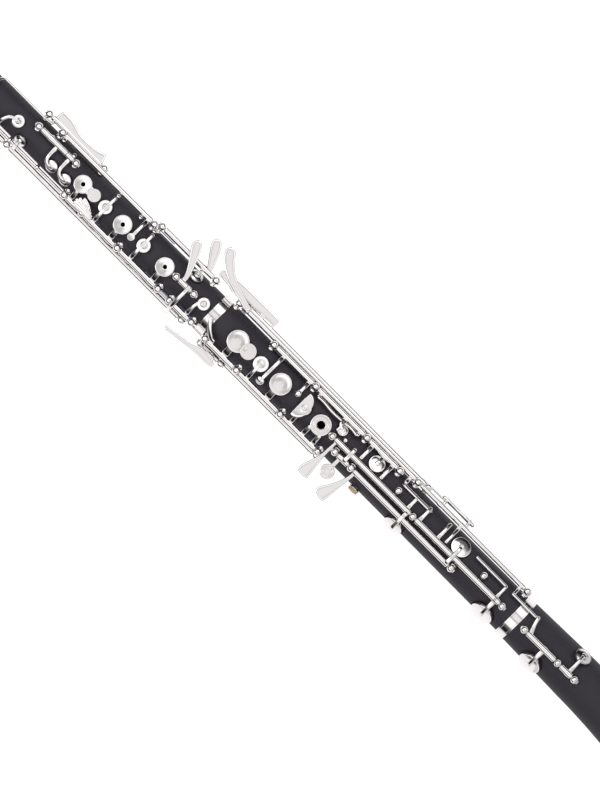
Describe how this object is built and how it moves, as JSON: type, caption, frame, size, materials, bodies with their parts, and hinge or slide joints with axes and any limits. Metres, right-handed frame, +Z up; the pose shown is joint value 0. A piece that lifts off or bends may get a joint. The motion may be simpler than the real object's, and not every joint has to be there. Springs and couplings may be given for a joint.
{
  "type": "oboe",
  "caption": "Double-reed wind instrument: a conical dark wood bore in three joints with silver-plated keys, rods and posts, and a reed socket at the top.",
  "frame": {"origin": "centre of the bell's rim, in the plane of the rim", "axes": "+Z up the bore towards the reed socket; the finger plates face -Y; +X is the side of the left little finger's touches"},
  "size_m": [0.067, 0.0524, 0.594],
  "materials": {
    "grenadilla": "oiled dark wood with a soft sheen",
    "silver_plate": "polished silver plate",
    "rod_steel": "ground steel",
    "spring_steel": "blued steel",
    "cork": "cork",
    "pad_skin": "skin over felt"
  },
  "bodies": {
    "instrument": {"upper_joint": "grenadilla", "lower_joint": "grenadilla", "bell": "grenadilla", "middle_ring": "silver_plate", "bell_ring": "silver_plate", "socket_sleeves": "silver_plate", "reed_socket": "silver_plate", "tenon_corks": "cork", "posts": "silver_plate", "hinge_rods": "rod_steel", "needle_springs": "spring_steel", "thumb_rest": "silver_plate", "thumb_rest_screws": "rod_steel"},
    "thumb_octave_key": {"thumb_octave_key": "silver_plate", "thumb_octave_pad": "pad_skin"},
    "side_octave_key": {"side_octave_key": "silver_plate", "side_octave_pad": "pad_skin"},
    "side_trill_key": {"side_trill_key": "silver_plate", "side_trill_pad": "pad_skin"},
    "side_trill_touch": {"side_trill_touch": "silver_plate"},
    "c_trill_key": {"c_trill_key": "silver_plate", "trill_pad": "pad_skin"},
    "trill_lever": {"trill_lever": "silver_plate"},
    "d_trill_key": {"d_trill_key": "silver_plate"},
    "half_hole_key": {"half_hole_key": "silver_plate", "half_hole_pad": "pad_skin"},
    "a_key": {"a_key": "silver_plate", "a_pads": "pad_skin"},
    "g_key": {"g_key": "silver_plate", "g_pads": "pad_skin"},
    "bridge_key": {"bridge_key": "silver_plate", "bridge_pad": "pad_skin"},
    "left_f_lever": {"left_f_lever": "silver_plate"},
    "g_sharp_key": {"g_sharp_key": "silver_plate", "g_sharp_pad": "pad_skin"},
    "b_lever": {"b_lever": "silver_plate"},
    "bb_lever": {"bb_lever": "silver_plate"},
    "f_sharp_key": {"f_sharp_key": "silver_plate", "f_sharp_pad": "pad_skin"},
    "e_key": {"e_key": "silver_plate", "e_pads": "pad_skin"},
    "d_key": {"d_key": "silver_plate", "d_pads": "pad_skin"},
    "fork_key": {"fork_key": "silver_plate"},
    "f_key": {"f_key": "silver_plate", "f_pad": "pad_skin"},
    "left_f_link": {"left_f_link": "silver_plate"},
    "eb_key": {"eb_key": "silver_plate", "eb_pad": "pad_skin"},
    "eb_lever": {"eb_lever": "silver_plate"},
    "c_key": {"c_key": "silver_plate", "c_pad": "pad_skin"},
    "c_sharp_key": {"c_sharp_key": "silver_plate", "c_sharp_pad": "pad_skin"},
    "b_key": {"b_key": "silver_plate", "b_pad": "pad_skin"},
    "bb_link": {"bb_link": "silver_plate"},
    "bb_key": {"bb_key": "silver_plate", "bb_pad": "pad_skin"},
    "bell_vent_key": {"bell_vent_key": "silver_plate"}
  },
  "joints": [
    {"name": "thumb_octave_key_hinge", "type": "hinge", "parent": "instrument", "child": "thumb_octave_key", "pos_m": [-0.01541, -0.00054, 0.533], "axis": [0, 0, 1], "range_deg": [-6, 0], "stiffness_Nm_per_rad": 0.005},
    {"name": "side_octave_key_hinge", "type": "hinge", "parent": "instrument", "child": "side_octave_key", "pos_m": [0.01436, -0.00305, 0.493], "axis": [0, 0, 1], "range_deg": [0, 6], "stiffness_Nm_per_rad": 0.005},
    {"name": "side_trill_key_hinge", "type": "hinge", "parent": "instrument", "child": "side_trill_key", "pos_m": [-0.01541, -0.00054, 0.45], "axis": [0, 0, 1], "range_deg": [-7, 0], "stiffness_Nm_per_rad": 0.005},
    {"name": "side_trill_touch_hinge", "type": "hinge", "parent": "instrument", "child": "side_trill_touch", "pos_m": [-0.01704, -0.00089, 0.3543], "axis": [0, 0, 1], "range_deg": [-7, 0], "stiffness_Nm_per_rad": 0.005},
    {"name": "c_trill_key_hinge", "type": "hinge", "parent": "instrument", "child": "c_trill_key", "pos_m": [0.0051, -0.01329, 0.501], "axis": [0, 0, 1], "range_deg": [0, 6.5], "stiffness_Nm_per_rad": 0.005},
    {"name": "trill_lever_hinge", "type": "hinge", "parent": "instrument", "child": "trill_lever", "pos_m": [0.01224, -0.00826, 0.465], "axis": [0, 0, 1], "range_deg": [-5, 0], "stiffness_Nm_per_rad": 0.005},
    {"name": "d_trill_key_hinge", "type": "hinge", "parent": "instrument", "child": "d_trill_key", "pos_m": [0.0051, -0.01329, 0.489], "axis": [0, 0, 1], "range_deg": [0, 6.5], "stiffness_Nm_per_rad": 0.005},
    {"name": "half_hole_key_hinge", "type": "hinge", "parent": "instrument", "child": "half_hole_key", "pos_m": [-0.01246, -0.00809, 0.469], "axis": [0, 0, 1], "range_deg": [0, 4.2], "stiffness_Nm_per_rad": 0.005},
    {"name": "a_key_hinge", "type": "hinge", "parent": "instrument", "child": "a_key", "pos_m": [-0.01246, -0.00809, 0.448], "axis": [0, 0, 1], "range_deg": [0, 4.2], "stiffness_Nm_per_rad": 0.005},
    {"name": "g_key_hinge", "type": "hinge", "parent": "instrument", "child": "g_key", "pos_m": [-0.01246, -0.00809, 0.418], "axis": [0, 0, 1], "range_deg": [0, 4.2], "stiffness_Nm_per_rad": 0.005},
    {"name": "bridge_key_hinge", "type": "hinge", "parent": "instrument", "child": "bridge_key", "pos_m": [-0.01246, -0.00809, 0.383], "axis": [0, 0, 1], "range_deg": [0, 4.2], "stiffness_Nm_per_rad": 0.005},
    {"name": "left_f_lever_hinge", "type": "hinge", "parent": "instrument", "child": "left_f_lever", "pos_m": [0, -0.0153, 0.391], "axis": [0, 0, 1], "range_deg": [0, 4], "stiffness_Nm_per_rad": 0.005},
    {"name": "g_sharp_key_hinge", "type": "hinge", "parent": "instrument", "child": "g_sharp_key", "pos_m": [0.01455, -0.00473, 0.403], "axis": [0, 0, 1], "range_deg": [0, 9], "stiffness_Nm_per_rad": 0.005},
    {"name": "b_lever_hinge", "type": "hinge", "parent": "instrument", "child": "b_lever", "pos_m": [0.01499, -0.00668, 0.2903], "axis": [0, 0, 1], "range_deg": [0, 6], "stiffness_Nm_per_rad": 0.005},
    {"name": "bb_lever_hinge", "type": "hinge", "parent": "instrument", "child": "bb_lever", "pos_m": [0.01676, -0.00059, 0.2853], "axis": [0, 0, 1], "range_deg": [0, 6], "stiffness_Nm_per_rad": 0.005},
    {"name": "f_sharp_key_hinge", "type": "hinge", "parent": "instrument", "child": "f_sharp_key", "pos_m": [-0.01349, -0.0091, 0.3493], "axis": [0, 0, 1], "range_deg": [0, 4], "stiffness_Nm_per_rad": 0.005},
    {"name": "e_key_hinge", "type": "hinge", "parent": "instrument", "child": "e_key", "pos_m": [-0.01349, -0.0091, 0.3193], "axis": [0, 0, 1], "range_deg": [0, 4], "stiffness_Nm_per_rad": 0.005},
    {"name": "d_key_hinge", "type": "hinge", "parent": "instrument", "child": "d_key", "pos_m": [-0.01349, -0.0091, 0.2863], "axis": [0, 0, 1], "range_deg": [0, 4], "stiffness_Nm_per_rad": 0.005},
    {"name": "fork_key_hinge", "type": "hinge", "parent": "instrument", "child": "fork_key", "pos_m": [0.01209, -0.01089, 0.3153], "axis": [0, 0, 1], "range_deg": [-3.4, 0], "stiffness_Nm_per_rad": 0.005},
    {"name": "f_key_hinge", "type": "hinge", "parent": "instrument", "child": "f_key", "pos_m": [0.01209, -0.01089, 0.2783], "axis": [0, 0, 1], "range_deg": [0, 9], "stiffness_Nm_per_rad": 0.005},
    {"name": "left_f_link_hinge", "type": "hinge", "parent": "instrument", "child": "left_f_link", "pos_m": [-0.01556, 0.00476, 0.3143], "axis": [0, 0, 1], "range_deg": [-4, 0], "stiffness_Nm_per_rad": 0.005},
    {"name": "eb_key_hinge", "type": "hinge", "parent": "instrument", "child": "eb_key", "pos_m": [0.01209, -0.01089, 0.2443], "axis": [0, 0, 1], "range_deg": [0, 9], "stiffness_Nm_per_rad": 0.005},
    {"name": "eb_lever_hinge", "type": "hinge", "parent": "instrument", "child": "eb_lever", "pos_m": [-0.00653, -0.01537, 0.2583], "axis": [0, 0, 1], "range_deg": [-6, 0], "stiffness_Nm_per_rad": 0.005},
    {"name": "c_key_hinge", "type": "hinge", "parent": "instrument", "child": "c_key", "pos_m": [-0.00117, -0.01666, 0.2393], "axis": [0, 0, 1], "range_deg": [-3.8, 0], "stiffness_Nm_per_rad": 0.005},
    {"name": "c_sharp_key_hinge", "type": "hinge", "parent": "instrument", "child": "c_sharp_key", "pos_m": [-0.00653, -0.01537, 0.2113], "axis": [0, 0, 1], "range_deg": [-5.5, 0], "stiffness_Nm_per_rad": 0.005},
    {"name": "b_key_hinge", "type": "hinge", "parent": "instrument", "child": "b_key", "pos_m": [-0.00117, -0.01666, 0.1713], "axis": [0, 0, 1], "range_deg": [-3.4, 0], "stiffness_Nm_per_rad": 0.005},
    {"name": "bb_link_hinge", "type": "hinge", "parent": "instrument", "child": "bb_link", "pos_m": [0.01499, -0.00668, 0.1743], "axis": [0, 0, 1], "range_deg": [0, 5], "stiffness_Nm_per_rad": 0.005},
    {"name": "bb_key_hinge", "type": "hinge", "parent": "instrument", "child": "bb_key", "pos_m": [-0.00161, -0.01843, 0.104], "axis": [0, 0, 1], "range_deg": [-3.2, 0], "stiffness_Nm_per_rad": 0.005},
    {"name": "bell_vent_key_hinge", "type": "hinge", "parent": "instrument", "child": "bell_vent_key", "pos_m": [-0.00161, -0.01843, 0.084], "axis": [0, 0, 1], "range_deg": [0, 3.8], "stiffness_Nm_per_rad": 0.005}
  ],
  "couplings": [
    {"joint": "side_trill_key_hinge", "follows": "side_trill_touch_hinge", "ratio": 1},
    {"joint": "c_trill_key_hinge", "follows": "trill_lever_hinge", "ratio": -1.3},
    {"joint": "b_key_hinge", "follows": "b_lever_hinge", "ratio": -0.56667},
    {"joint": "bb_link_hinge", "follows": "bb_lever_hinge", "ratio": 0.83333},
    {"joint": "bb_key_hinge", "follows": "bb_lever_hinge", "ratio": -0.53333},
    {"joint": "bell_vent_key_hinge", "follows": "bb_lever_hinge", "ratio": 0.63333},
    {"joint": "eb_key_hinge", "follows": "eb_lever_hinge", "ratio": -1.5},
    {"joint": "f_key_hinge", "follows": "left_f_lever_hinge", "ratio": 2.25},
    {"joint": "left_f_link_hinge", "follows": "left_f_lever_hinge", "ratio": -1},
    {"joint": "bridge_key_hinge", "follows": "f_sharp_key_hinge", "ratio": 1.05},
    {"joint": "fork_key_hinge", "follows": "d_key_hinge", "ratio": -0.85}
  ]
}
